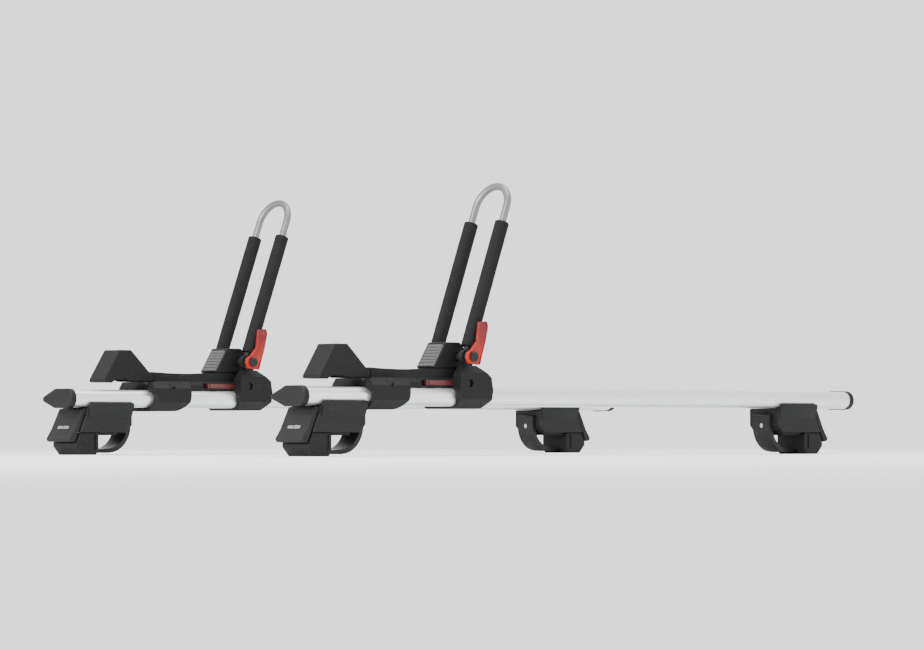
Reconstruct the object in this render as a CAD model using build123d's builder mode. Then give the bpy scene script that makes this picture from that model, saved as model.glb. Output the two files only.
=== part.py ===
from build123d import *
import os
from math import cos, radians, sin

# Roof rack: two aero crossbars on four rail towers, with a folding boat cradle on each bar.
# Millimetres. +X runs across the vehicle from the near side to the far side, -Y faces forward,
# +Z is up. The origin is the bottom centre of the whole outline, at the level of the feet.

# ---------------------------------------------------------------- driving dimensions
bar_length = 1270.0
bar_spacing = 600.0
bar_bottom = 80.0
bar_height = 30.0
bar_front_edge = -40.0
bar_rear_corner = 47.0
bar_wall = 2.5
bar_top = bar_bottom + bar_height
cap_depth = 10.0
cap_proud = 1.6

slot_y = -12.0
slot_neck = 11.0
slot_width = 20.0
slot_floor = 99.0
slot_roof = bar_top - bar_wall

front_reach = 61.5
rear_reach = 50.0
frame_shift = (front_reach - rear_reach) / 2
bar_ys = {"front": frame_shift - bar_spacing / 2, "rear": frame_shift + bar_spacing / 2}
rail_xs = {"near": -556.0, "far": 496.0}
outward = {"near": -1, "far": 1}

tower_half = 35.0
jaw_half = 33.0
claw_half = 20.0
seat_z = 33.0
roof_z = bar_bottom - 0.2
housing_floor = 37.5
bolt_z = 50.0
bolt_r = 4.0
hinge_u = 56.3
hinge_z = 74.0

pivot_x = -300.0
pivot_z = 160.0
pin_r = 5.0
run_gap = 0.05
lean = 20.5
leg_y = 37.0
rod_r = 6.0
leg_length = 265.0
sleeve_start = 17.0
sleeve_length = 220.0
sleeve_r = 12.0
deck_half = 22.0
tray_half = 30.0
clamp_half = 50.0
tray_floor = bar_top + 0.4
deck_top = 141.0
cradle_shift = {"front": 0.0, "rear": 35.0}
lock_width = 30.0
lock_tall = 5.0
lock_r = 5.0
cross_bolt_xs = (-470.0, -300.0)
cross_bolt_z = 117.5
cross_bolt_r = 3.0
cross_bolt_half = 46.0
cross_head = 4.0

os.makedirs("parts", exist_ok=True)


def save(piece, name, shift=0.0):
    """Label a finished piece, slide it along the bar if need be, and write its own file."""
    placed = Pos(shift, 0, 0) * piece.part
    placed.label = name
    export_step(placed, f"parts/{name}.step")


def closed_face(plane, points, corner=0.0):
    """A flat face with straight sides, from its corners on a plane, rounded if asked."""
    with BuildSketch(plane) as face:
        with BuildLine():
            Polyline(*points, close=True)
        make_face()
        if corner:
            fillet(vertices(), corner)
    return face.sketch


def outline(plane, points, half, corner=0.0):
    """A closed straight-sided outline on a plane, extruded the same way to both sides."""
    extrude(closed_face(plane, points, corner), amount=half, both=True)


def outline_cut(plane, points, half):
    """Cuts a straight-sided outline out of the piece in hand, the same way to both sides."""
    extrude(closed_face(plane, points), amount=half, both=True, mode=Mode.SUBTRACT)


def slope_band(foot, head, near, far, low, high):
    """Corners of a thin band along a slope, set off it by two heights to the left of travel."""
    along = Vector(head[0] - foot[0], head[1] - foot[1]).normalized()
    left = Vector(-along.Y, along.X)
    spots = [(near, low), (far, low), (far, high), (near, high)]
    points = [Vector(*foot) + along * t + left * h for t, h in spots]
    return [(point.X, point.Y) for point in points]


def soften_sides(size):
    """Round the rims of the two faces that look forward and back, as a mould's edges are."""
    rims = faces().sort_by(Axis.Y)[0].edges() + faces().sort_by(Axis.Y)[-1].edges()
    fillet(rims, size)


def along_y(x, y, z, radius, length, mode):
    """A round bar or bore that runs front to back, centred on a point."""
    with Locations((x, y, z)):
        Cylinder(radius, length, rotation=(90, 0, 0), mode=mode)


# ---------------------------------------------------------------- crossbars
def bar_face(bar_y, x, grow):
    """The teardrop section of the bar, blunt edge forward, grown outward by a margin."""
    with BuildSketch(Plane.YZ.offset(x)) as section:
        with BuildLine():
            Polyline(
                (bar_y + bar_front_edge, bar_bottom),
                (bar_y + 10, bar_bottom),
                (bar_y + bar_rear_corner, bar_bottom + 13.5),
                (bar_y + 8, bar_top),
                (bar_y + bar_front_edge, bar_top),
                close=True,
            )
        make_face()
        nose = vertices().group_by(Axis.X)[0]
        fillet(nose, bar_height / 2 - 0.2)
        tail = vertices().sort_by(Axis.X)[-1]
        fillet(tail, 4)
        if grow:
            offset(amount=grow)
    return section.sketch


def slot_face(bar_y, x, wall):
    """The T-shaped channel in the top of the bar, with a wall's thickness around it."""
    width = slot_width + 2 * wall
    with BuildSketch(Plane.YZ.offset(x)) as channel:
        with Locations((bar_y + slot_y, (slot_floor - wall + slot_roof) / 2)):
            Rectangle(width, slot_roof - slot_floor + wall)
        with Locations((bar_y + slot_y, (slot_roof + bar_top) / 2)):
            Rectangle(slot_neck + 2 * wall, bar_wall + 2)
    return channel.sketch


def make_bar(end, bar_y):
    half = bar_length / 2
    with BuildPart() as bar:
        wall_ring = bar_face(bar_y, -half, 0) - bar_face(bar_y, -half, -bar_wall)
        channel = slot_face(bar_y, -half, bar_wall) & bar_face(bar_y, -half, 0)
        extrude(wall_ring + channel, amount=bar_length)
        extrude(slot_face(bar_y, -half, 0), amount=bar_length, mode=Mode.SUBTRACT)
        for side, rail_x in rail_xs.items():
            for u in screw_us:
                with Locations((rail_x + outward[side] * u, bar_y + screw_y, bar_bottom)):
                    Cylinder(bolt_r + 0.4, 12, mode=Mode.SUBTRACT)
    save(bar, f"crossbar_{end}")

    with BuildPart() as strip:
        with BuildSketch(Plane.YZ.offset(-half)):
            with Locations((bar_y + slot_y, bar_top - 2)):
                Rectangle(slot_neck - 0.2, 3.8)
            with Locations((bar_y + slot_y, slot_roof - 2.1)):
                Rectangle(slot_width - 1, 4)
        extrude(amount=bar_length)
    save(strip, f"slot_strip_{end}")

    for side, way in outward.items():
        with BuildPart() as cap:
            extrude(bar_face(bar_y, way * half, cap_proud), amount=way * cap_depth)
            outer = faces().sort_by(Axis.X)[-1 if way > 0 else 0]
            fillet(outer.edges(), 3.5)
            with Locations((way * (half - 9.9), bar_y + 14, 93)):
                Box(20, 16, 10)
        save(cap, f"bar_cap_{end}_{side}")


# ---------------------------------------------------------------- rail towers
screw_us = (-14.0, 20.0)
screw_y = 2.0
screw_head_z = 57.0
saddle_top = 71.5
saddle_half = 26.5


def make_tower(end, side, bar_y):
    way = outward[side]
    rail_x = rail_xs[side]
    plane = Plane(origin=(rail_x, bar_y, 0), x_dir=(way, 0, 0), z_dir=(0, -way, 0))
    place = f"{end}_{side}"

    def across(u, radius, length, mode):
        """A round bar or bore along the clamp bolt's line, starting at u and going outward."""
        with Locations((rail_x + way * (u + length / 2), bar_y, bolt_z)):
            Cylinder(radius, length, rotation=(0, 90, 0), mode=mode)

    with BuildPart() as housing:
        section = [
            (-44, roof_z),
            (-44, 50),
            (-32, housing_floor),
            (66.3, housing_floor),
            (51.5, 72),
            (51.5, roof_z),
        ]
        outline(plane, section, tower_half, 2.0)
        soften_sides(1.9)
        cavity_mid = (housing_floor + saddle_top + 0.3) / 2
        with Locations((rail_x + way * 3, bar_y, cavity_mid)):
            Box(74.6, 2 * saddle_half + 0.6, saddle_top + 0.3 - housing_floor, mode=Mode.SUBTRACT)
        across(-46, bolt_r + 0.4, 100, Mode.SUBTRACT)
        across(45.5, 8.5, 25, Mode.SUBTRACT)
        along_y(
            rail_x + way * hinge_u, bar_y, hinge_z, 5.0, 2 * tower_half + 2, Mode.SUBTRACT
        )
        for u in screw_us:
            with Locations((rail_x + way * u, bar_y + screw_y, 76)):
                Cylinder(bolt_r + 0.4, 14, mode=Mode.SUBTRACT)
    save(housing, f"tower_housing_{place}")

    with BuildPart() as jaw:
        section = [
            (25.5, 37.2),
            (25.5, 6),
            (31, 0),
            (60, 0),
            (72.5, 14),
            (73, 19.5),
            (65, 37.2),
        ]
        outline(plane, section, jaw_half, 2.0)
        soften_sides(1.9)
        groove_x = rail_x + way * 34
        for sign in (-1, 1):
            with Locations((groove_x, bar_y + sign * jaw_half, 22)):
                Box(5, 3, 24, mode=Mode.SUBTRACT)
    save(jaw, f"rail_jaw_{place}")

    with BuildPart() as door:
        section = [
            (53.9, 71.4),
            (68.3, 37.5),
            (75.5, 21.5),
            (84.5, 22.5),
            (87.5, 27),
            (76.5, 43),
            (60.2, 76.5),
        ]
        outline(plane, section, jaw_half, 1.6)
        soften_sides(1.5)
        along_y(rail_x + way * hinge_u, bar_y, hinge_z, 3.9, 2 * jaw_half, Mode.ADD)
        with BuildSketch(lock_plane(rail_x, bar_y, way)):
            RectangleRounded(lock_width + 0.4, lock_tall + 0.4, 2)
        extrude(amount=-1.5, mode=Mode.SUBTRACT)
        with BuildSketch(lock_plane(rail_x, bar_y, way)):
            Circle(lock_r + 0.1)
        extrude(amount=-20, mode=Mode.SUBTRACT)
    save(door, f"tower_door_{place}")

    with BuildPart() as lock:
        with BuildSketch(lock_plane(rail_x, bar_y, way).offset(-1.5)):
            RectangleRounded(lock_width, lock_tall, 1.8)
        extrude(amount=2.2)
        with BuildSketch(lock_plane(rail_x, bar_y, way).offset(-1.5)):
            Circle(lock_r)
        extrude(amount=-6.3)
        with BuildSketch(lock_plane(rail_x, bar_y, way).offset(0.7)):
            SlotOverall(6, 1.4)
        extrude(amount=-3, mode=Mode.SUBTRACT)
    save(lock, f"lock_core_{place}")

    with BuildPart() as pad:
        with Locations((rail_x + way * 2, bar_y, (seat_z + 40) / 2)):
            Box(44, 2 * saddle_half - 4, 40 - seat_z)
        chamfer(faces().sort_by(Axis.Z)[0].edges(), 1.5)
    save(pad, f"rail_pad_{place}")

    with BuildPart() as claw:
        centre = (-5.0, 50.0)
        outer_r = 47.0
        inner_r = 39.5
        turn = sin(radians(45))
        with BuildSketch(plane):
            with BuildLine():
                Polyline((-5, 10.5), (24, 8), (22, 3.6), (-5, 3))
                ThreePointArc(
                    (-5, 3),
                    (centre[0] - outer_r * turn, centre[1] - outer_r * turn),
                    (-52, 50),
                )
                Polyline((-52, 50), (-52, 68), (-50, 70), (-44.5, 70), (-44.5, 50))
                ThreePointArc(
                    (-44.5, 50),
                    (centre[0] - inner_r * turn, centre[1] - inner_r * turn),
                    (-5, 10.5),
                )
            make_face()
        extrude(amount=claw_half, both=True)
        taper = [(-30, claw_half + 1), (26, claw_half + 1), (26, 12), (10, 13)]
        for sign in (-1, 1):
            corners = [(rail_x + way * u, bar_y + sign * y) for u, y in taper]
            extrude(closed_face(Plane.XY, corners), amount=30, mode=Mode.SUBTRACT)
        across(-55, bolt_r + 0.3, 14, Mode.SUBTRACT)
    save(claw, f"rail_claw_{place}")


def lock_plane(rail_x, bar_y, way):
    """The sloping outer face of a tower door, at the middle of its lock, facing out."""
    slope = Vector(16.3, 0, -33.5).normalized()
    start = Vector(60.2, 0, 76.5) + slope * 34
    return Plane(
        origin=(rail_x + way * start.X, bar_y, start.Z),
        x_dir=(0, 1, 0),
        z_dir=(-slope.Z * way, 0, slope.X),
    )


def make_tower_groups():
    """Hidden steel saddles and the fasteners of all four towers."""
    spots = [(rail_xs[s], outward[s], y) for y in bar_ys.values() for s in rail_xs]
    with BuildPart() as saddles:
        for rail_x, way, bar_y in spots:
            middle = (40.0 + saddle_top) / 2
            with Locations((rail_x + way * 3, bar_y, middle)):
                Box(74, 2 * saddle_half, saddle_top - 40)
            with Locations((rail_x + way * 3, bar_y, middle - 4)):
                Box(76, 2 * saddle_half - 10, saddle_top - 48, mode=Mode.SUBTRACT)
            for u in screw_us:
                with Locations((rail_x + way * u, bar_y + screw_y, 68)):
                    Cylinder(bolt_r + 0.4, 14, mode=Mode.SUBTRACT)
    save(saddles, "tower_saddles")

    with BuildPart() as bolts:
        for rail_x, way, bar_y in spots:
            shank = -51, 97
            with Locations((rail_x + way * (shank[0] + shank[1] / 2), bar_y, bolt_z)):
                Cylinder(bolt_r, shank[1], rotation=(0, 90, 0))
            with Locations((rail_x + way * 50, bar_y, bolt_z)):
                Cylinder(6.5, 8, rotation=(0, 90, 0))
            hex_plane = Plane(origin=(rail_x + way * 54, bar_y, bolt_z), z_dir=(way, 0, 0))
            with BuildSketch(hex_plane):
                RegularPolygon(3.4, 6)
            extrude(amount=-4.5, mode=Mode.SUBTRACT)
    save(bolts, "clamp_bolts")

    with BuildPart() as screws:
        for rail_x, way, bar_y in spots:
            for u in screw_us:
                spot = (rail_x + way * u, bar_y + screw_y)
                with Locations((*spot, (screw_head_z + 91) / 2)):
                    Cylinder(bolt_r, 91 - screw_head_z)
                with Locations((*spot, screw_head_z + 3)):
                    Cylinder(6.5, 6)
                with BuildSketch(Plane.XY.offset(bar_bottom + bar_wall + 0.2)):
                    with Locations(spot):
                        RegularPolygon(6.5, 6)
                extrude(amount=5.5)
    save(screws, "bar_screws")


# ---------------------------------------------------------------- boat cradles
def bar_clearance(bar_y, start, length):
    """Cuts the bar's own section out of a clamp, with a sliding gap all round."""
    extrude(bar_face(bar_y, start, 0.5), amount=length, mode=Mode.SUBTRACT)


def clamp_section(bar_y, start, length, top, floor):
    """The clamp's end-on shape: a deep U round the bar, its corners cut back."""
    corners = [
        (bar_y - clamp_half + 15, floor),
        (bar_y - clamp_half, floor + 15),
        (bar_y - clamp_half, top - 11),
        (bar_y - clamp_half + 9, top),
        (bar_y + clamp_half - 9, top),
        (bar_y + clamp_half, top - 11),
        (bar_y + clamp_half, floor + 12),
        (bar_y + clamp_half - 12, floor),
    ]
    extrude(closed_face(Plane.YZ.offset(start), corners), amount=length)


def make_cradle(end, bar_y):
    side_plane = Plane(origin=(0, bar_y, 0), x_dir=(1, 0, 0), z_dir=(0, -1, 0))
    shift = cradle_shift[end]

    with BuildPart() as tray:
        with BuildSketch(side_plane):
            with BuildLine():
                Polyline((-489.8, deck_top), (-489.8, 124), (-516, 124), (-508, tray_floor))
                Polyline((-508, tray_floor), (-262, tray_floor), (-262, deck_top - 6))
                Polyline((-262, deck_top - 6), (-268, deck_top), (-355, deck_top))
                ThreePointArc((-355, deck_top), (-422, deck_top - 2), (-489.8, deck_top))
            make_face()
        extrude(amount=tray_half, both=True)
        shoulder = [
            (tray_half + 1, 119),
            (tray_half, 119),
            (deck_half, 126),
            (deck_half, deck_top + 1),
            (tray_half + 1, deck_top + 1),
        ]
        for sign in (-1, 1):
            corners = [(bar_y + sign * y, z) for y, z in shoulder]
            cutter = closed_face(Plane.YZ.offset(-531), corners)
            extrude(cutter, amount=300, dir=(1, 0, 0), mode=Mode.SUBTRACT)
        with Locations((-349.2, bar_y - tray_half + 3, 117.8)):
            Box(80, 6.4, 8.8, mode=Mode.SUBTRACT)
        for x in cross_bolt_xs:
            along_y(x, bar_y, cross_bolt_z, cross_bolt_r + 0.3, 70, Mode.SUBTRACT)
        for x in (-460, -430, -400):
            with Locations((x, bar_y, tray_floor + 9)):
                Box(22, 36, 19, mode=Mode.SUBTRACT)
    save(tray, f"cradle_tray_{end}", shift)

    with BuildPart() as wing:
        section = [
            (-596, 123),
            (-596, 128),
            (-564, 178),
            (-539, 178),
            (-500, 141.2),
            (-490, 141.2),
            (-490, 124.2),
            (-536, 124.2),
            (-546, 127),
            (-572, 127),
            (-580, 122),
        ]
        outline(side_plane, section, deck_half, 2.0)
        soften_sides(1.9)
        hollow = [(-582, 120), (-560, 168), (-543, 168), (-528, 154), (-532, 120)]
        outline_cut(side_plane, hollow, deck_half - 4.5)
        recess = slope_band((-500, 141.2), (-539, 178), 5, 50, -1, 2)
        outline_cut(side_plane, recess, 17.2)
        for x in (-564, -546):
            with Locations((x, bar_y, 150)):
                Box(2.5, 2 * deck_half - 8, 34)
    save(wing, f"cradle_wing_{end}", shift)

    with BuildPart() as wing_pad:
        section = slope_band((-500, 141.2), (-539, 178), 5.3, 49.7, -1.2, 2)
        outline(side_plane, section, 17)
    save(wing_pad, f"wing_pad_{end}", shift)

    with BuildPart() as outer_clamp:
        start = -510.0
        length = 80.0
        clamp_section(bar_y, start, length, 124, 74)
        with Locations((start + length / 2, bar_y, 124)):
            Box(length, 2 * tray_half + 0.6, 28, mode=Mode.SUBTRACT)
        with BuildSketch(side_plane):
            with BuildLine():
                Polyline((-430, 70), (-430, 100))
                RadiusArc((-430, 100), (-456, 74), 27)
                Polyline((-456, 74), (-456, 70), (-430, 70))
            make_face()
        extrude(amount=60, both=True, mode=Mode.SUBTRACT)
        notch = [(-511, 111), (-505, 102), (-505, 90), (-511, 76)]
        outline_cut(side_plane, notch, 60)
        bar_clearance(bar_y, start, length)
        cross_bore(cross_bolt_xs[0], bar_y)
    save(outer_clamp, f"outer_clamp_{end}", shift)

    with BuildPart() as inner_clamp:
        start = -324.0
        length = 75.0
        clamp_section(bar_y, start, length, 146, 76)
        with Locations((start + length / 2, bar_y, 150)):
            Box(length, 2 * tray_half + 0.6, 80, mode=Mode.SUBTRACT)
        hexagon = [
            (-321, 112),
            (-324, 97),
            (-318, 76),
            (-264, 76),
            (-252, 89),
            (-249, 106),
            (-253, 127),
            (-279, 146),
            (-309, 146),
            (-321, 130),
        ]
        front_view = closed_face(side_plane, hexagon, 3.0)
        extrude(front_view, amount=60, both=True, mode=Mode.INTERSECT)
        bar_clearance(bar_y, start, length)
        cross_bore(cross_bolt_xs[1], bar_y)
    save(inner_clamp, f"inner_clamp_{end}", shift)

    with BuildPart() as slide:
        with Locations((-344, bar_y - tray_half + 2.6, 117.8)):
            Box(68, 5.6, 8)
        with Locations((-366, bar_y - tray_half - 1.2, 117.8)):
            Box(14, 3, 6)
        chamfer(faces().sort_by(Axis.Y)[0].edges(), 1)
    save(slide, f"lock_slide_{end}", shift)

    with BuildPart() as housing:
        section = [
            (-355, deck_top + 0.2),
            (-328, 184),
            (-297, 184),
            (-284, 172),
            (-268, 150),
            (-268, deck_top + 0.2),
        ]
        outline(side_plane, section, deck_half, 2.5)
        soften_sides(2.2)
        along_y(pivot_x, bar_y, pivot_z, 7.5, 2 * (leg_y - 4.9), Mode.ADD)
        recess = slope_band((-355, deck_top + 0.2), (-328, 184), 4, 46, -2, 1)
        outline_cut(side_plane, recess, 19.2)
        along_y(pivot_x, bar_y, pivot_z, pin_r + 0.02, 120, Mode.SUBTRACT)
    save(housing, f"pivot_housing_{end}", shift)

    with BuildPart() as foot_pad:
        section = slope_band((-355, deck_top + 0.2), (-328, 184), 4.3, 45.7, -2, 1.6)
        outline(side_plane, section, 19)
    save(foot_pad, f"foot_pad_{end}", shift)

    leg_way = Vector(sin(radians(lean)), 0, cos(radians(lean)))
    pivot = Vector(pivot_x, bar_y, pivot_z)
    hoop_plane = Plane(origin=pivot, x_dir=(0, 1, 0), z_dir=(leg_way.Z, 0, -leg_way.X))
    with BuildPart() as hoop:
        foot = 8.0
        with BuildLine(hoop_plane):
            Line((-leg_y, foot), (-leg_y, leg_length))
            ThreePointArc((-leg_y, leg_length), (0, leg_length + leg_y), (leg_y, leg_length))
            Line((leg_y, leg_length), (leg_y, foot))
        foot_point = pivot + Vector(0, -leg_y, 0) + leg_way * foot
        with BuildSketch(Plane(origin=foot_point, z_dir=leg_way)):
            Circle(rod_r)
        sweep()
        for sign in (-1, 1):
            along_y(pivot_x, bar_y + sign * leg_y, pivot_z, 11.5, 9, Mode.ADD)
        along_y(pivot_x, bar_y, pivot_z, pin_r + run_gap, 120, Mode.SUBTRACT)
    save(hoop, f"hoop_{end}", shift)

    with BuildPart() as sleeves:
        start = pivot + leg_way * sleeve_start
        with BuildSketch(Plane(origin=start, x_dir=(0, 1, 0), z_dir=leg_way)):
            with Locations((-leg_y, 0), (leg_y, 0)):
                Circle(sleeve_r)
                Circle(rod_r + 0.2, mode=Mode.SUBTRACT)
        extrude(amount=sleeve_length)
    save(sleeves, f"foam_sleeves_{end}", shift)

    with BuildPart() as pin:
        along_y(pivot_x, bar_y - 7, pivot_z, pin_r, 103, Mode.ADD)
        along_y(pivot_x, bar_y - 46.4, pivot_z, 7.5, 8.8, Mode.ADD)
        along_y(pivot_x, bar_y - 60, pivot_z, 8, 3, Mode.ADD)
        along_y(pivot_x, bar_y + 43.8, pivot_z, 8, 4, Mode.ADD)
        chamfer(faces().sort_by(Axis.Y)[0].edges(), 1)
    save(pin, f"pivot_pin_{end}", shift)

    with BuildPart() as lever:
        lever_plane = Plane(origin=(0, bar_y - 54.7, 0), x_dir=(1, 0, 0), z_dir=(0, -1, 0))
        section = [
            (-313, 158),
            (-309, 149),
            (-286, 147),
            (-282, 160),
            (-274, 184),
            (-268, 210),
            (-271, 218),
            (-286, 217),
            (-290, 186),
            (-303, 171),
            (-312, 166),
        ]
        outline(lever_plane, section, 3.5, 2.0)
        along_y(pivot_x, bar_y - 54.7, pivot_z, pin_r + run_gap, 12, Mode.SUBTRACT)
    save(lever, f"release_lever_{end}", shift)


def cross_bore(x, bar_y):
    """A clamp's cross hole, with a flat pocket at each end for the bolt's head and nut."""
    along_y(x, bar_y, cross_bolt_z, cross_bolt_r + 0.3, 120, Mode.SUBTRACT)
    for sign in (-1, 1):
        pocket_y = bar_y + sign * (cross_bolt_half - cross_head + 10)
        along_y(x, pocket_y, cross_bolt_z, 6.3, 20, Mode.SUBTRACT)


def make_cross_bolts():
    """One bolt through each clamp, above the bar: round head in front, hexagon nut behind."""
    with BuildPart() as bolts:
        for end, bar_y in bar_ys.items():
            for bore_x in cross_bolt_xs:
                x = bore_x + cradle_shift[end]
                along_y(x, bar_y, cross_bolt_z, cross_bolt_r, 2 * cross_bolt_half, Mode.ADD)
                head_y = bar_y - cross_bolt_half + cross_head / 2
                along_y(x, head_y, cross_bolt_z, 5.5, cross_head, Mode.ADD)
                nut_plane = Plane(
                    origin=(x, bar_y + cross_bolt_half - cross_head, cross_bolt_z),
                    z_dir=(0, 1, 0),
                )
                with BuildSketch(nut_plane):
                    RegularPolygon(5.5, 6)
                extrude(amount=cross_head)
    save(bolts, "clamp_cross_bolts")


for bar_end, y_middle in bar_ys.items():
    make_bar(bar_end, y_middle)
    make_cradle(bar_end, y_middle)
    for bar_side in rail_xs:
        make_tower(bar_end, bar_side, y_middle)
make_tower_groups()
make_cross_bolts()
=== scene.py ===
import bpy
from math import atan2, cos, radians, sin, tau
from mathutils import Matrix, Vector


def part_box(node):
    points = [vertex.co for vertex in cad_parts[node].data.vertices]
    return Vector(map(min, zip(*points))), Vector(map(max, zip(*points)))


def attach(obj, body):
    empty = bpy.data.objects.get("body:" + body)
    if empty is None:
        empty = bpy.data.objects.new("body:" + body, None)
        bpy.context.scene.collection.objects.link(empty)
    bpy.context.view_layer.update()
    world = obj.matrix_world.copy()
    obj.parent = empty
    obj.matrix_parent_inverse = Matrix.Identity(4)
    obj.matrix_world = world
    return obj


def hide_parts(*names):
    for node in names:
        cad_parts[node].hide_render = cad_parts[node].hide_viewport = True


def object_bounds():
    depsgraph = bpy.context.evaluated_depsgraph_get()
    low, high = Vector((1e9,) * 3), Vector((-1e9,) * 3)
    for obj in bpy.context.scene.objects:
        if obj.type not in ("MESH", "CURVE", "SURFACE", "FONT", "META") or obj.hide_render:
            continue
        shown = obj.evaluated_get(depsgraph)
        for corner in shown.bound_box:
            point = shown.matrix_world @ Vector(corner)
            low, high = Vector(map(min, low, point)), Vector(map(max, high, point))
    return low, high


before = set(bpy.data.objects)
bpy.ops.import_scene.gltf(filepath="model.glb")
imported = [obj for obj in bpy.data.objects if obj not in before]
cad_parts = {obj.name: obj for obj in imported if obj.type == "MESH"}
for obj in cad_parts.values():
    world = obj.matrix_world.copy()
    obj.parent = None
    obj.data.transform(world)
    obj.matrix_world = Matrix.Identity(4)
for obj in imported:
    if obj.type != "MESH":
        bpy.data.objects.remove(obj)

cad_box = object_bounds()

# ---------------------------------------------------------------- crossbars
# Two hollow aluminium extrusions in a teardrop section, clear anodised to a satin silver.
# The die leaves fine lines along the whole length, and sliding clamps on and off rubs pale
# streaks into the skin. Each bar lies on two rail towers and is held from below by screws.


class Wire:
    """One output of a material's nodes, so that a pattern is written as plain sums."""

    def __init__(self, socket):
        self.socket = socket
        self.tree = socket.id_data

    def node(self, kind, settings=None, inputs=None, out=0):
        """A new node in the same material: its settings, then its sockets' values or wires."""
        node = self.tree.nodes.new(kind)
        for name, value in (settings or {}).items():
            if name == "stops":
                ramp = node.color_ramp.elements
                while len(ramp) < len(value):
                    ramp.new(1.0)
                for stop, (spot, grey) in zip(ramp, value):
                    stop.position = spot
                    stop.color = (grey, grey, grey, 1)
            else:
                setattr(node, name, value)
        for name, value in (inputs or {}).items():
            socket = node.inputs[name]
            if isinstance(value, Wire):
                self.tree.links.new(value.socket, socket)
            elif socket.type == "RGBA":
                socket.default_value = (*value, 1)
            else:
                socket.default_value = value
        return Wire(node.outputs[out])

    def maths(self, operation, first, second=0.0, clamp=False):
        settings = {"operation": operation, "use_clamp": clamp}
        return self.node("ShaderNodeMath", settings, {0: first, 1: second})

    def __add__(self, other):
        return self.maths("ADD", self, other)

    def __sub__(self, other):
        return self.maths("SUBTRACT", self, other)

    def __mul__(self, other):
        return self.maths("MULTIPLY", self, other)

    def __rsub__(self, other):
        return self.maths("SUBTRACT", other, self)

    __radd__ = __add__
    __rmul__ = __mul__

    def held(self):
        """The same value, kept between nought and one."""
        return self.maths("ADD", self, 0.0, clamp=True)


def new_finish(name):
    """An empty material, and the wire of the place on the object, in metres."""
    finish = bpy.data.materials.new(name)
    finish.use_nodes = True
    place = finish.node_tree.nodes.new("ShaderNodeTexCoord")
    return finish, Wire(place.outputs["Object"])


def coat(finish, **values):
    """Sets or wires the surface shader's sockets."""
    shader = finish.node_tree.nodes["Principled BSDF"]
    for name, value in values.items():
        socket = shader.inputs[name.replace("_", " ")]
        if isinstance(value, Wire):
            finish.node_tree.links.new(value.socket, socket)
        elif socket.type == "RGBA":
            socket.default_value = (*value, 1)
        else:
            socket.default_value = value


def stretched(place, scale, turn=(0, 0, 0)):
    """The place, squeezed or drawn out along the axes, so that a grain gets a direction."""
    return place.node(
        "ShaderNodeMapping", {}, {"Vector": place, "Scale": scale, "Rotation": turn}
    )


def cloud(place, scale, detail=2.0):
    """Soft random patches, this many to the metre."""
    return place.node(
        "ShaderNodeTexNoise", {}, {"Vector": place, "Scale": scale, "Detail": detail}
    )


def between(dark, light, share):
    """A colour between two others."""
    return share.node(
        "ShaderNodeMix", {"data_type": "RGBA"}, {0: share, 6: dark, 7: light}, out=2
    )


def ramp(value, *stops):
    """Reshapes a value by (spot, level) stops."""
    return value.node("ShaderNodeValToRGB", {"stops": stops}, {"Fac": value})


def relief(height):
    """A surface normal from a height in millimetres."""
    return height.node("ShaderNodeBump", {}, {"Height": height, "Distance": 0.001})


def dress(finish, *nodes):
    """Gives CAD nodes that are shown as they are a finish."""
    for name in nodes:
        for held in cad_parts[name].material_slots:
            held.material = finish


anodised, place = new_finish("anodised_silver")
die_lines = cloud(stretched(place, (2.5, 1400, 1400)), 1.0, 3.0)
broad_lines = cloud(stretched(place, (1.2, 260, 260)), 1.0, 2.0)
handling = cloud(stretched(place, (9, 22, 22)), 1.0, 4.0)
rubs = ramp(cloud(stretched(place, (14, 700, 500)), 1.0, 2.0), (0.6, 0), (0.72, 1))
lined = (0.55 * die_lines + 0.5 * broad_lines).held()
silver = between((0.60, 0.61, 0.625), (0.83, 0.835, 0.84), lined)
coat(
    anodised,
    Base_Color=between((0.72, 0.725, 0.73), silver, (1.0 - 0.45 * rubs * handling).held()),
    Metallic=0.92,
    Roughness=(0.22 + 0.14 * die_lines + 0.12 * handling + 0.1 * rubs).held(),
    Normal=relief(0.035 * die_lines + 0.03 * broad_lines),
    Coat_Weight=0.12,
    Coat_Roughness=0.3,
)
dress(anodised, "crossbar_front", "crossbar_rear")

# ---------------------------------------------------------------- slot strips
# A rubber seal pressed into the T-slot along the top of each bar, which keeps wind noise and
# grit out. It has a wide root under the slot's lips and three low ribs along its top.
ends = ("front", "rear")
root_thick = 0.004
neck_half = 0.0054
neck_tall = 0.0018
rib_half = 0.0008
rib_tall = 0.0006
rib_spots = (-0.003, 0.0, 0.003)


def stock(name, low, high):
    """A box primitive of that size and place, as the start of a piece."""
    bpy.ops.object.select_all(action="DESELECT")
    middle = [(a + b) / 2 for a, b in zip(low, high)]
    size = [b - a for a, b in zip(low, high)]
    bpy.ops.mesh.primitive_cube_add(size=1, location=middle, scale=size)
    piece = bpy.context.object
    piece.name = name
    bpy.ops.object.transform_apply(location=True, rotation=True, scale=True)
    return piece


def score(piece, axis, spots):
    """Splits a piece's faces along planes across an axis, and takes nothing away."""
    bpy.ops.object.mode_set(mode="EDIT")
    for spot in spots:
        bpy.ops.mesh.select_all(action="SELECT")
        point = [0, 0, 0]
        way = [0, 0, 0]
        point[axis] = spot
        way[axis] = 1
        bpy.ops.mesh.bisect(plane_co=point, plane_no=way)
    bpy.ops.object.mode_set(mode="OBJECT")


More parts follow.
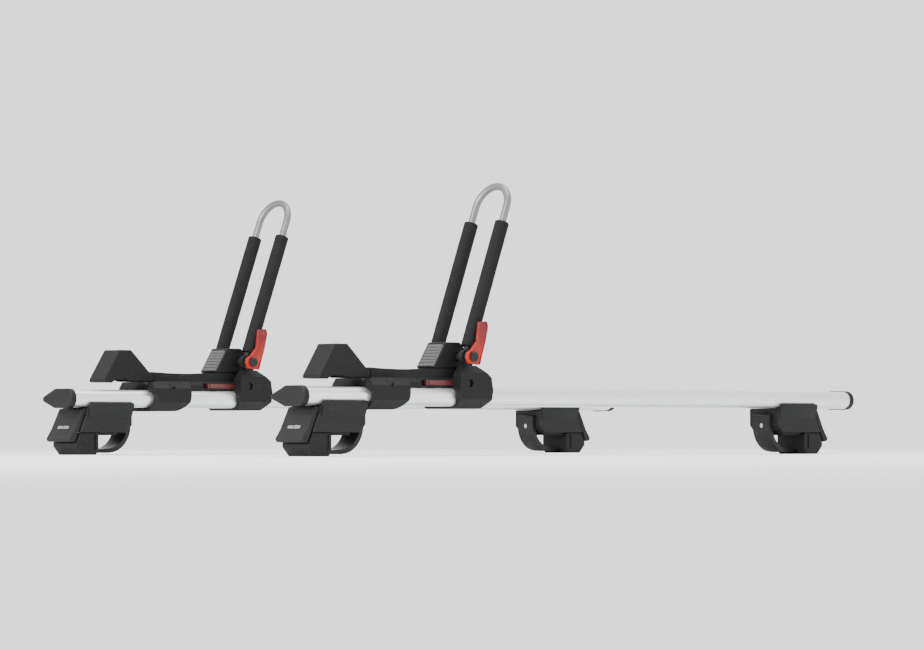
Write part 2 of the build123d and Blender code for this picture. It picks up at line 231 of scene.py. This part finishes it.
def pick(piece, wanted):
    """Selects the faces whose middle and outward direction pass a test, in edit mode."""
    bpy.ops.object.mode_set(mode="EDIT")
    bpy.ops.mesh.select_mode(type="FACE")
    bpy.ops.mesh.select_all(action="DESELECT")
    bpy.ops.object.mode_set(mode="OBJECT")
    for face in piece.data.polygons:
        face.select = bool(wanted(face.center, face.normal))
    bpy.ops.object.mode_set(mode="EDIT")


def push(piece, wanted, move):
    """Extrudes the chosen faces of a piece by a move."""
    pick(piece, wanted)
    bpy.ops.mesh.extrude_region_move(TRANSFORM_OT_translate={"value": move})
    bpy.ops.object.mode_set(mode="OBJECT")


def worked(piece, kind, **settings):
    """Adds a modifier to a piece and applies it."""
    modifier = piece.modifiers.new(kind.lower(), kind)
    for name, value in settings.items():
        setattr(modifier, name, value)
    bpy.context.view_layer.objects.active = piece
    bpy.ops.object.modifier_apply(modifier=modifier.name)


def rounded(piece, radius, steps=2):
    """Breaks a piece's sharp edges and smooths what is left."""
    worked(piece, "BEVEL", width=radius, segments=steps, limit_method="ANGLE", angle_limit=0.5)
    bpy.ops.object.select_all(action="DESELECT")
    piece.select_set(True)
    bpy.context.view_layer.objects.active = piece
    bpy.ops.object.shade_smooth_by_angle(angle=radians(40))


def hand_in(piece, body, finish, slot, *nodes):
    """Sets a finished piece's material, what it rides on, and the nodes it stands for."""
    piece.data.name = piece.name
    piece.data.materials.clear()
    piece.data.materials.append(finish)
    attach(piece, body)
    if nodes:
        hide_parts(*nodes)


soft_black, place = new_finish("black_rubber_moulded")
bloom = cloud(place, 30, 4.0)
skin = cloud(place, 1500, 2.0)
bloomed = (0.7 * bloom + 0.3 * skin).held()
coat(
    soft_black,
    Base_Color=between((0.012, 0.012, 0.012), (0.034, 0.034, 0.035), bloomed),
    Roughness=(0.62 + 0.22 * bloom + 0.08 * skin).held(),
    Normal=relief(0.03 * skin + 0.05 * cloud(place, 260, 2.0)),
    Specular_IOR_Level=0.12,
)

for end in ends:
    low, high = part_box(f"slot_strip_{end}")
    middle = (low.y + high.y) / 2
    strip = stock(f"slot_seal_{end}", low, (high.x, high.y, low.z + root_thick))
    rib_edges = [rib + half for rib in rib_spots for half in (-rib_half, rib_half)]
    score(strip, 1, [middle + edge for edge in (-neck_half, *rib_edges, neck_half)])
    push(
        strip,
        lambda at, out: out.z > 0.9 and abs(at.y - middle) < neck_half,
        (0, 0, neck_tall),
    )
    for rib in rib_spots:
        push(
            strip,
            lambda at, out: out.z > 0.9
            and at.z > low.z + root_thick + neck_tall / 2
            and abs(at.y - middle - rib) < rib_half,
            (0, 0, rib_tall),
        )
    rounded(strip, 0.00025)
    hand_in(strip, "root", soft_black, "black_rubber", f"slot_strip_{end}")

# ---------------------------------------------------------------- bar caps
# Moulded plugs that close the bar's ends, black nylon with a fine spark-eroded skin. Each
# stands a little proud of the bar and is pushed in on a block that grips inside the section.
sides = ("near", "far")


def at_corners(kind):
    """The four nodes of a kind: front and rear, near and far."""
    return [f"{kind}_{end}_{side}" for end in ends for side in sides]


def moulded(name, dark, light, rough, flow=(20, 20, 20)):
    """Moulded nylon: cloudy flow marks, a fine sparked skin, and pale scuffs that are a little
    glossier.
    """
    finish, place = new_finish(name)
    clouds = cloud(stretched(place, flow), 1.0, 4.0)
    skin = cloud(place, 1300, 2.0)
    coarse = cloud(place, 420, 2.0)
    nick_grain = cloud(stretched(place, (70, 520, 190), (0.3, 0.5, 0.9)), 1.0, 2.0)
    nicks = ramp(nick_grain, (0.66, 0), (0.74, 1))
    hair_grain = cloud(stretched(place, (420, 40, 300), (0.7, 0.2, 0.4)), 1.0, 2.0)
    hair = ramp(hair_grain, (0.68, 0), (0.76, 1))
    marks = (0.3 * nicks + 0.2 * hair).held()
    body = between(dark, light, (0.75 * clouds + 0.25 * skin).held())
    scuffed = [value * 2.2 + 0.02 for value in light]
    coat(
        finish,
        Base_Color=between(body, scuffed, marks * clouds),
        Roughness=(rough + 0.16 * clouds + 0.08 * skin - 0.1 * marks).held(),
        Normal=relief(0.025 * skin + 0.03 * coarse - 0.03 * marks),
        Specular_IOR_Level=0.14,
    )
    return finish


cap_black = moulded("cap_nylon", (0.004, 0.004, 0.0042), (0.011, 0.011, 0.0115), 0.34)
dress(cap_black, *at_corners("bar_cap"))

# ---------------------------------------------------------------- tower housings and doors
# The charcoal shells of the four rail towers, moulded in glass-filled nylon with a matt skin.
# The housing carries the bar; the door hangs from a pin along its top outer edge and hides
# the clamp bolt behind a key lock.
tower_grey = moulded(
    "tower_nylon", (0.007, 0.0071, 0.0072), (0.017, 0.0172, 0.0175), 0.46, (16, 16, 34)
)
dress(tower_grey, *at_corners("tower_housing"))
dress(tower_grey, *at_corners("tower_door"))

# ---------------------------------------------------------------- tower lips
# A lip along each tower's front, moulded with the housing, that rises over the bar's blunt
# nose and is hollowed to its curve, so that the bar can't creep forward.
nose_round = 0.0148
nose_gap = 0.0004
lip_proud = 0.003
lip_drop = 0.030
lip_rise = 0.0075
lip_overlap = 0.006
lip_inset = 0.002
lip_short = 0.0165
for end in ends:
    bar_low, bar_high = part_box(f"crossbar_{end}")
    nose_y = bar_low.y + nose_round
    nose_z = (bar_low.z + bar_high.z) / 2
    for side in sides:
        low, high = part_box(f"tower_housing_{end}_{side}")
        lip = stock(
            f"tower_lip_{end}_{side}",
            (low.x + lip_inset, bar_low.y - lip_proud, bar_low.z - lip_drop),
            (high.x - lip_inset, low.y + lip_overlap, bar_low.z + lip_rise),
        )
        if side == "near":
            lip_out = low.x + lip_short
            cut_way = (-1, 0, 0)
        else:
            lip_out = high.x - lip_short
            cut_way = (1, 0, 0)
        bpy.ops.object.mode_set(mode="EDIT")
        bpy.ops.mesh.select_all(action="SELECT")
        bpy.ops.mesh.bisect(
            plane_co=(lip_out, 0, 0), plane_no=cut_way, use_fill=True, clear_outer=True
        )
        bpy.ops.mesh.select_all(action="SELECT")
        bpy.ops.mesh.bisect(
            plane_co=(0, bar_low.y - lip_proud, bar_low.z + 0.001),
            plane_no=(0, -1, -0.42),
            use_fill=True,
            clear_outer=True,
        )
        bpy.ops.object.mode_set(mode="OBJECT")
        bpy.ops.object.select_all(action="DESELECT")
        bpy.ops.mesh.primitive_cylinder_add(
            vertices=96,
            radius=nose_round + nose_gap,
            depth=0.4,
            location=((low.x + high.x) / 2, nose_y, nose_z),
            rotation=(0, radians(90), 0),
        )
        nose = bpy.context.object
        bpy.ops.object.transform_apply(location=True, rotation=True, scale=True)
        worked(lip, "BOOLEAN", operation="DIFFERENCE", object=nose, solver="EXACT")
        bpy.data.objects.remove(nose)
        rounded(lip, 0.0009, 3)
        hand_in(lip, "root", tower_grey, "black_plastic")

# ---------------------------------------------------------------- lock cores
# Die-cast zinc plates with a key slot, one in each tower door. The cast skin is satin, with
# tiny pits and bright rubbing where the key goes in.
zinc, place = new_finish("cast_zinc")
pits = cloud(place, 1700, 2.0)
stain = cloud(place, 90, 3.0)
stained = (0.6 * stain + 0.4 * pits).held()
coat(
    zinc,
    Base_Color=between((0.22, 0.225, 0.23), (0.42, 0.425, 0.43), stained),
    Metallic=0.9,
    Roughness=(0.30 + 0.2 * stain + 0.1 * pits).held(),
    Normal=relief(0.03 * pits),
)
dress(zinc, *at_corners("lock_core"))

# ---------------------------------------------------------------- rail jaws and claws
# The parts that grip the roof rail. The outer jaw is a thick black moulding; the claw is a
# bent steel strap with a black powder coat, drawn in under the rail by the clamp bolt. The
# saddles, the clamps' cross bolts and the hoop's pins have the same coat.
jaw_black = moulded(
    "jaw_nylon", (0.0045, 0.0045, 0.0047), (0.012, 0.012, 0.0124), 0.42, (24, 24, 24)
)
dress(jaw_black, *at_corners("rail_jaw"))

powder, place = new_finish("powder_coat")
peel = cloud(place, 520, 2.0)
speck = cloud(place, 1900, 1.0)
wear = ramp(cloud(place, 60, 5.0), (0.58, 0), (0.72, 1))
worn = (0.5 * wear + 0.4 * peel).held()
coat(
    powder,
    Base_Color=between((0.007, 0.007, 0.0075), (0.022, 0.022, 0.023), worn),
    Roughness=(0.30 + 0.2 * wear + 0.1 * speck).held(),
    Normal=relief(0.06 * peel + 0.01 * speck),
    Specular_IOR_Level=0.2,
)
dress(powder, *at_corners("rail_claw"))
dress(powder, "tower_saddles", "clamp_cross_bolts", "pivot_pin_front", "pivot_pin_rear")

# ---------------------------------------------------------------- rail pads
# Soft rubber blocks under the housings, which sit on the rail's crown. The sole is grooved
# across so that water runs out and the block doesn't creep along the rail.
tread_tall = 0.0014
tread_half = 0.0021
tread_pitch = 0.0063
tread_count = 6
for end in ends:
    for side in sides:
        low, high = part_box(f"rail_pad_{end}_{side}")
        pad = stock(f"rail_cushion_{end}_{side}", (low.x, low.y, low.z + tread_tall), high)
        treads = [low.x + tread_pitch * step for step in range(1, tread_count + 1)]
        score(pad, 0, [spot + half for spot in treads for half in (-tread_half, tread_half)])
        push(
            pad,
            lambda at, out: out.z < -0.9
            and any(abs(at.x - spot) < tread_half for spot in treads),
            (0, 0, -tread_tall),
        )
        rounded(pad, 0.0005)
        hand_in(pad, "root", soft_black, "black_rubber", f"rail_pad_{end}_{side}")

# ---------------------------------------------------------------- bolts and screws
# Zinc-plated steel: the clamp bolts that draw the claws in, and the screws and nuts that
# hold the bars. The plating is a little streaky, bright in some places and dull in others.
plated, place = new_finish("zinc_plating")
streak = cloud(place, 240, 4.0)
coat(
    plated,
    Base_Color=between((0.36, 0.36, 0.35), (0.66, 0.66, 0.64), streak),
    Metallic=1.0,
    Roughness=(0.24 + 0.26 * streak).held(),
    Normal=relief(0.02 * cloud(place, 1500, 2.0)),
)
dress(plated, "clamp_bolts", "bar_screws")

# ---------------------------------------------------------------- cradle mouldings
# The black nylon body of each boat cradle: a long tray across two clamps that wrap the bar,
# a hollow wing at its outer end, and a housing for the hoop's pivot at its inner end.
cradle_black = moulded(
    "cradle_nylon", (0.0032, 0.0032, 0.0034), (0.0095, 0.0095, 0.0099), 0.38, (12, 30, 30)
)
for part in ("cradle_tray", "cradle_wing", "outer_clamp", "inner_clamp", "pivot_housing"):
    dress(cradle_black, *[f"{part}_{end}" for end in ends])

# ---------------------------------------------------------------- cradle pads
# A black foam pad on the wing's inner slope and a light grey one on the pivot housing, where
# the hull leans. Both are moulded with soft ribs across and sit in a shallow recess.
pad_rim = 0.0022
valley_half = 0.0009


def laid(piece, spot, turn):
    """Turns a piece about its own middle, front to back, and sets it down at its place."""
    bpy.ops.object.select_all(action="DESELECT")
    piece.select_set(True)
    bpy.context.view_layer.objects.active = piece
    piece.rotation_euler = (0, turn, 0)
    piece.location = spot
    bpy.ops.object.transform_apply(location=True, rotation=True, scale=True)


def ribbed_pad(name, long, wide, thick, ribs):
    """A low pad, flat below, with rounded ribs across its top inside a lower rim."""
    pad = stock(name, (-long / 2, -wide / 2, 0), (long / 2, wide / 2, thick * 0.55))
    pitch = long / ribs
    edges = [-long / 2 + pitch * step for step in range(1, ribs)]
    score(pad, 0, [edge + half for edge in edges for half in (-valley_half, valley_half)])
    score(pad, 1, [-wide / 2 + pad_rim, wide / 2 - pad_rim])
    push(
        pad,
        lambda at, out: out.z > 0.9
        and abs(at.y) < wide / 2 - pad_rim
        and not any(abs(at.x - edge) < valley_half for edge in edges),
        (0, 0, thick * 0.45),
    )
    rounded(pad, 0.0007, 3)
    worked(pad, "SUBSURF", levels=1, render_levels=1)
    bpy.ops.object.shade_smooth_by_angle(angle=radians(60))
    return pad


def foamed(name, dark, light, cells):
    """Closed-cell foam: small pores in a matt skin that is darker where it is pressed."""
    finish, place = new_finish(name)
    pores = place.node("ShaderNodeTexVoronoi", {}, {"Vector": place, "Scale": cells})
    patches = cloud(place, 45, 4.0)
    coat(
        finish,
        Base_Color=between(dark, light, (0.9 * pores * patches + 0.3 * patches).held()),
        Roughness=(0.74 + 0.2 * patches).held(),
        Normal=relief(0.12 * pores + 0.1 * cloud(place, 320, 2.0)),
        Specular_IOR_Level=0.12,
    )
    return finish


pad_black = foamed("pad_foam", (0.008, 0.008, 0.0085), (0.024, 0.024, 0.025), 1100)
pad_grey = foamed("pad_grey_rubber", (0.066, 0.064, 0.063), (0.098, 0.095, 0.094), 1300)
front_tray_end = -0.262
# For each pad: two points (x, z) of its slope, the pad's middle along the slope from the
# first, its depth in the recess, then its thickness, length, width and number of ribs.
slopes = {
    "wing": ((-0.500, 0.1412), (-0.539, 0.178), 0.0275, -0.002, 0.0032, 0.0444, 0.034, 6),
    "foot": ((-0.328, 0.184), (-0.355, 0.1414), 0.0256, -0.002, 0.0036, 0.0414, 0.038, 7),
}
pad_looks = {"wing": (pad_black, "black_foam"), "foot": (pad_grey, "grey_rubber")}
for end in ends:
    low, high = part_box(f"cradle_tray_{end}")
    middle = (low.y + high.y) / 2
    slid = high.x - front_tray_end
    for part, (start, stop, along, sunk, thick, long, wide, ribs) in slopes.items():
        way = Vector((stop[0] - start[0], 0, stop[1] - start[1])).normalized()
        out = Vector((way.z, 0, -way.x))
        spot = Vector((start[0] + slid, middle, start[1])) + way * along + out * sunk
        pad = ribbed_pad(f"{part}_cushion_{end}", long, wide, thick, ribs)
        laid(pad, spot, atan2(out.x, out.z))
        finish, slot = pad_looks[part]
        hand_in(pad, "root", finish, slot, f"{part}_pad_{end}")

# ---------------------------------------------------------------- hoops
# One steel rod bent to a long U, drawn and clear coated to a mid grey, with an eye at each
# foot that turns on the pivot pin. The feet are dipped in black nylon as a bearing skin.
lean = radians(20.5)
dip_line = 0.182
dip_sharp = 900
rod_grey, place = new_finish("drawn_steel")
draw = cloud(stretched(place, (700, 700, 60), (0, -lean, 0)), 1.0, 3.0)
haze = cloud(place, 28, 4.0)
freckle = ramp(cloud(place, 700, 2.0), (0.64, 0), (0.72, 1))
rise = place.node("ShaderNodeSeparateXYZ", {}, {"Vector": place}, out=2)
dipped = ((dip_line - rise + 0.002 * haze) * dip_sharp).held()
drawn = between((0.11, 0.112, 0.115), (0.25, 0.252, 0.255), (0.5 * draw + 0.5 * haze).held())
coat(
    rod_grey,
    Base_Color=between(
        between(drawn, (0.05, 0.05, 0.05), 0.4 * freckle),
        (0.010, 0.010, 0.0105),
        dipped,
    ),
    Metallic=(1.0 - dipped) * 0.85,
    Roughness=(0.28 + 0.16 * draw + 0.14 * haze + 0.15 * dipped).held(),
    Normal=relief(0.02 * draw + 0.02 * freckle + 0.05 * dipped),
    Specular_IOR_Level=0.2,
)
dress(rod_grey, "hoop_front", "hoop_rear")

# ---------------------------------------------------------------- foam sleeves
# Black closed-cell foam tubes pushed over the hoop's legs. They are cut from a long extruded
# tube, so the skin shows a slight slanting drag, and the cut ends are a little rounded.
sleeve_foam, place = new_finish("sleeve_foam")
unwrapped = sleeve_foam.node_tree.nodes.new("ShaderNodeTexCoord")
skin_place = Wire(unwrapped.outputs["UV"])
around = skin_place.node("ShaderNodeSeparateXYZ", {}, {"Vector": skin_place}, out=0)
along = skin_place.node("ShaderNodeSeparateXYZ", {}, {"Vector": skin_place}, out=1)
slant = around * (6 * tau) + along * (110 * tau)
drag = slant.maths("SINE", slant)
pores = place.node("ShaderNodeTexVoronoi", {}, {"Vector": place, "Scale": 950.0})
patches = cloud(place, 60, 4.0)
coat(
    sleeve_foam,
    Base_Color=between(
        (0.0035, 0.0035, 0.0037),
        (0.018, 0.018, 0.0186),
        (0.12 * drag + 0.5 * pores + 0.5 * patches - 0.1).held(),
    ),
    Roughness=(0.72 + 0.2 * patches).held(),
    Normal=relief(0.09 * drag + 0.14 * pores + 0.25 * cloud(place, 170, 2.0)),
    Specular_IOR_Level=0.12,
)

leg_way = Vector((sin(lean), 0, cos(lean)))
leg_spread = 0.037
sleeve_long = 0.2196
sleeve_radius = 0.0118
sleeve_wall = 0.0055
sleeve_rings = 30
sleeve_middle = 0.127
ripple = bpy.data.textures.new("sleeve_ripple", "CLOUDS")
ripple.noise_scale = 0.018
for end in ends:
    low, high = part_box(f"pivot_pin_{end}")
    hoop_low, hoop_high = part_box(f"hoop_{end}")
    pivot = Vector(((low.x + high.x) / 2, (hoop_low.y + hoop_high.y) / 2, (low.z + high.z) / 2))
    for leg, way in (("a", -1), ("b", 1)):
        bpy.ops.object.select_all(action="DESELECT")
        bpy.ops.mesh.primitive_cylinder_add(
            vertices=48,
            radius=sleeve_radius,
            depth=sleeve_long,
            end_fill_type="NGON",
            location=(0, 0, 0),
        )
        sleeve = bpy.context.object
        sleeve.name = f"foam_sleeve_{end}_{leg}"
        pick(sleeve, lambda at, out: abs(out.z) > 0.9)
        bpy.ops.mesh.inset(thickness=sleeve_wall, depth=0, use_individual=True)
        bpy.ops.mesh.bridge_edge_loops()
        bpy.ops.object.mode_set(mode="OBJECT")
        rings = [sleeve_long * (step / sleeve_rings - 0.5) for step in range(1, sleeve_rings)]
        score(sleeve, 2, rings)
        rounded(sleeve, 0.0016, 4)
        worked(
            sleeve,
            "DISPLACE",
            texture=ripple,
            texture_coords="LOCAL",
            strength=0.0007,
            mid_level=0.6,
        )
        leg_foot = pivot + Vector((0, way * leg_spread, 0))
        laid(sleeve, leg_foot + leg_way * sleeve_middle, lean)
        hand_in(sleeve, f"hoop_{end}", sleeve_foam, "black_foam", f"foam_sleeves_{end}")

# ---------------------------------------------------------------- release levers
# The red lever that frees the hoop, moulded in glossy nylon and hung on the pivot pin. Its
# outer face is dished inside a narrow rim, and its upper blade is painted a darker red as
# painted shade.
# The height above which the lever's red is darkened as painted shade.
blade_foot = 0.158
rim_wide = 0.0018
dish_deep = 0.0012
red, place = new_finish("lever_red")
height = place.node("ShaderNodeSeparateXYZ", {}, {"Vector": place}, out=2)
# Painted shade: a mask that rises above the blade's foot and darkens the upper blade.
upper_blade_shade = ((height - blade_foot) * 22).held()
swirl = cloud(place, 55, 4.0)
red_skin = cloud(place, 1500, 2.0)
bright = between((0.26, 0.012, 0.005), (0.34, 0.019, 0.008), swirl)
# A darker copy of the red, painted on the upper blade as shade.
shaded_red = between((0.12, 0.009, 0.011), (0.17, 0.014, 0.016), swirl)
rub = ramp(cloud(stretched(place, (300, 300, 60)), 1.0, 3.0), (0.62, 0), (0.72, 1))
coat(
    red,
    Base_Color=between(between(bright, shaded_red, upper_blade_shade), (0.50, 0.09, 0.07), 0.3 * rub),
    Roughness=(0.30 + 0.14 * swirl + 0.1 * rub).held(),
    Normal=relief(0.015 * red_skin + 0.02 * cloud(place, 300, 2.0)),
    Specular_IOR_Level=0.22,
)


def copied(node, name):
    """A node's own shape, merged into whole faces, as the start of a finer piece."""
    piece = bpy.data.objects.new(name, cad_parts[node].data.copy())
    bpy.context.scene.collection.objects.link(piece)
    bpy.ops.object.select_all(action="DESELECT")
    piece.select_set(True)
    bpy.context.view_layer.objects.active = piece
    bpy.ops.mesh.customdata_custom_splitnormals_clear()
    bpy.ops.object.mode_set(mode="EDIT")
    bpy.ops.mesh.select_all(action="SELECT")
    bpy.ops.mesh.remove_doubles(threshold=1e-6)
    bpy.ops.mesh.dissolve_limited(angle_limit=radians(0.5))
    bpy.ops.object.mode_set(mode="OBJECT")
    return piece


for end in ends:
    lever = copied(f"release_lever_{end}", f"lever_{end}")
    pick(lever, lambda at, out: out.y < -0.95)
    bpy.ops.mesh.inset(thickness=rim_wide, depth=0)
    bpy.ops.mesh.extrude_region_move(TRANSFORM_OT_translate={"value": (0, dish_deep, 0)})
    bpy.ops.object.mode_set(mode="OBJECT")
    rounded(lever, 0.0004)
    hand_in(lever, f"lever_{end}", red, "red_plastic", f"release_lever_{end}")

# ---------------------------------------------------------------- lock slides
# The dark red strip in the tray's front edge that locks the folding hoop. It slides in a
# groove and is pushed by a small nub.
slide_red, place = new_finish("slide_red")
swirl = cloud(place, 70, 4.0)
coat(
    slide_red,
    Base_Color=between((0.050, 0.004, 0.0045), (0.085, 0.0065, 0.007), swirl),
    Roughness=(0.38 + 0.14 * swirl).held(),
    Normal=relief(0.03 * cloud(place, 1100, 2.0)),
)
dress(slide_red, "lock_slide_front", "lock_slide_rear")

# ---------------------------------------------------------------- floor, light and camera
# A plain pale floor that fades into the same pale surroundings, a large soft light overhead,
# one at the near side, a weak one in front, and a long lens a little above the tower feet.
bpy.ops.object.select_all(action="DESELECT")
bpy.ops.mesh.primitive_circle_add(
    vertices=96, radius=40, fill_type="NGON", location=(0, 0, 0)
)
floor = bpy.context.object
floor.name = "studio_floor"
floor_finish, place = new_finish("pale_floor")
reach = place.node("ShaderNodeVectorMath", {"operation": "LENGTH"}, {0: place}, out=1)
far_share = ramp(reach * 0.1, (0.12, 0), (0.5, 1))
room_light = 1.9
surround = (0.93, 0.935, 0.94)
coat(
    floor_finish,
    Base_Color=between((0.80, 0.805, 0.81), (0.82, 0.825, 0.83), cloud(place, 4, 3.0)),
    Roughness=0.7,
)
shader = floor_finish.node_tree.nodes["Principled BSDF"]
glow = far_share.node("ShaderNodeEmission", {}, {"Color": surround, "Strength": room_light})
blend = far_share.node(
    "ShaderNodeMixShader", {}, {0: far_share, 1: Wire(shader.outputs[0]), 2: glow}
)
output = floor_finish.node_tree.nodes["Material Output"]
floor_finish.node_tree.links.new(blend.socket, output.inputs["Surface"])
floor.data.materials.append(floor_finish)

world = bpy.data.worlds.new("pale_room")
bpy.context.scene.world = world
world.use_nodes = True
backdrop = world.node_tree.nodes["Background"]
backdrop.inputs["Color"].default_value = (*surround, 1)
backdrop.inputs["Strength"].default_value = room_light


def lamp(name, spot, size, power):
    """A large square soft light, aimed at the middle of the rack."""
    light = bpy.data.lights.new(name, "AREA")
    light.size = size
    light.energy = power
    holder = bpy.data.objects.new(name, light)
    bpy.context.scene.collection.objects.link(holder)
    holder.location = spot
    aim = Vector((0, 0, 0.2)) - Vector(spot)
    holder.rotation_euler = aim.to_track_quat("-Z", "Y").to_euler()


lamp("overhead", (0.2, -0.3, 3.4), 2.6, 110)
lamp("near_side", (-3.6, -0.6, 1.5), 1.8, 220)
lamp("front", (1.4, -3.6, 1.2), 1.6, 20)

view_point = Vector((-4.543, -4.907, 0.035))
lens = bpy.data.cameras.new("long_lens")
lens.lens = 150
camera = bpy.data.objects.new("camera", lens)
bpy.context.scene.collection.objects.link(camera)
camera.location = view_point
middle = (cad_box[0] + cad_box[1]) / 2
camera.rotation_euler = (middle - view_point).to_track_quat("-Z", "Y").to_euler()
bpy.context.scene.camera = camera
